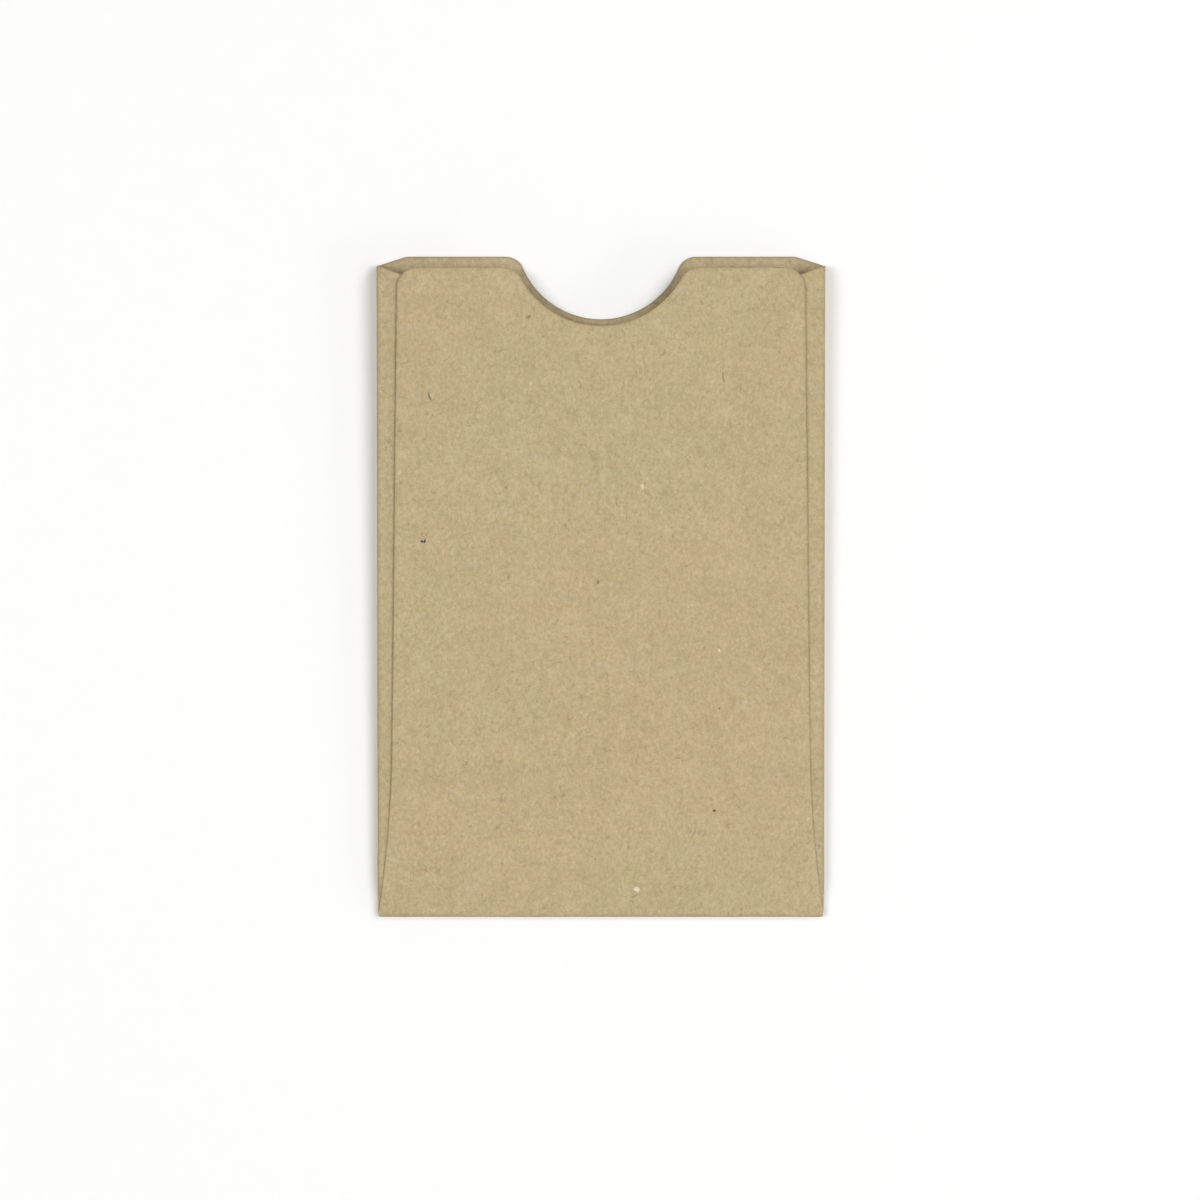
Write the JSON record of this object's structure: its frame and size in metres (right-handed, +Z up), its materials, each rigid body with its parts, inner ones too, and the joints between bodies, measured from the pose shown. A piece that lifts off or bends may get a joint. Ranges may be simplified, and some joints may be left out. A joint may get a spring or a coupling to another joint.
{
  "type": "key card envelope",
  "caption": "Plain folded kraft card sleeve for a key card, open at the mouth, with side flaps glued under the front panel and a round thumb notch through both panels.",
  "frame": {"origin": "under the middle of the sleeve, on the surface that its back panel lies on", "axes": "+Y towards the open mouth, +X to the right as seen from the front panel, +Z up out of the front panel"},
  "size_m": [0.06, 0.0888, 0.0032],
  "materials": {
    "kraft_card": "uncoated matt kraft card with a fine fibre mottle",
    "adhesive": "thin dried adhesive film, hidden between flap and front panel"
  },
  "bodies": {
    "back": {"back_panel": "kraft_card", "left_side_fold": "kraft_card", "right_side_fold": "kraft_card", "bottom_fold": "kraft_card"},
    "front": {"front_panel": "kraft_card", "left_side_flap": "kraft_card", "right_side_flap": "kraft_card", "left_glue_strip": "adhesive", "right_glue_strip": "adhesive"}
  },
  "joints": [
    {"name": "mouth_open", "type": "hinge", "parent": "back", "child": "front", "pos_m": [0, -0.04405, 0.00066], "axis": [1, 0, 0], "range_deg": [-1, 1.5], "stiffness_Nm_per_rad": 0.25, "springref_deg": 0.17}
  ]
}
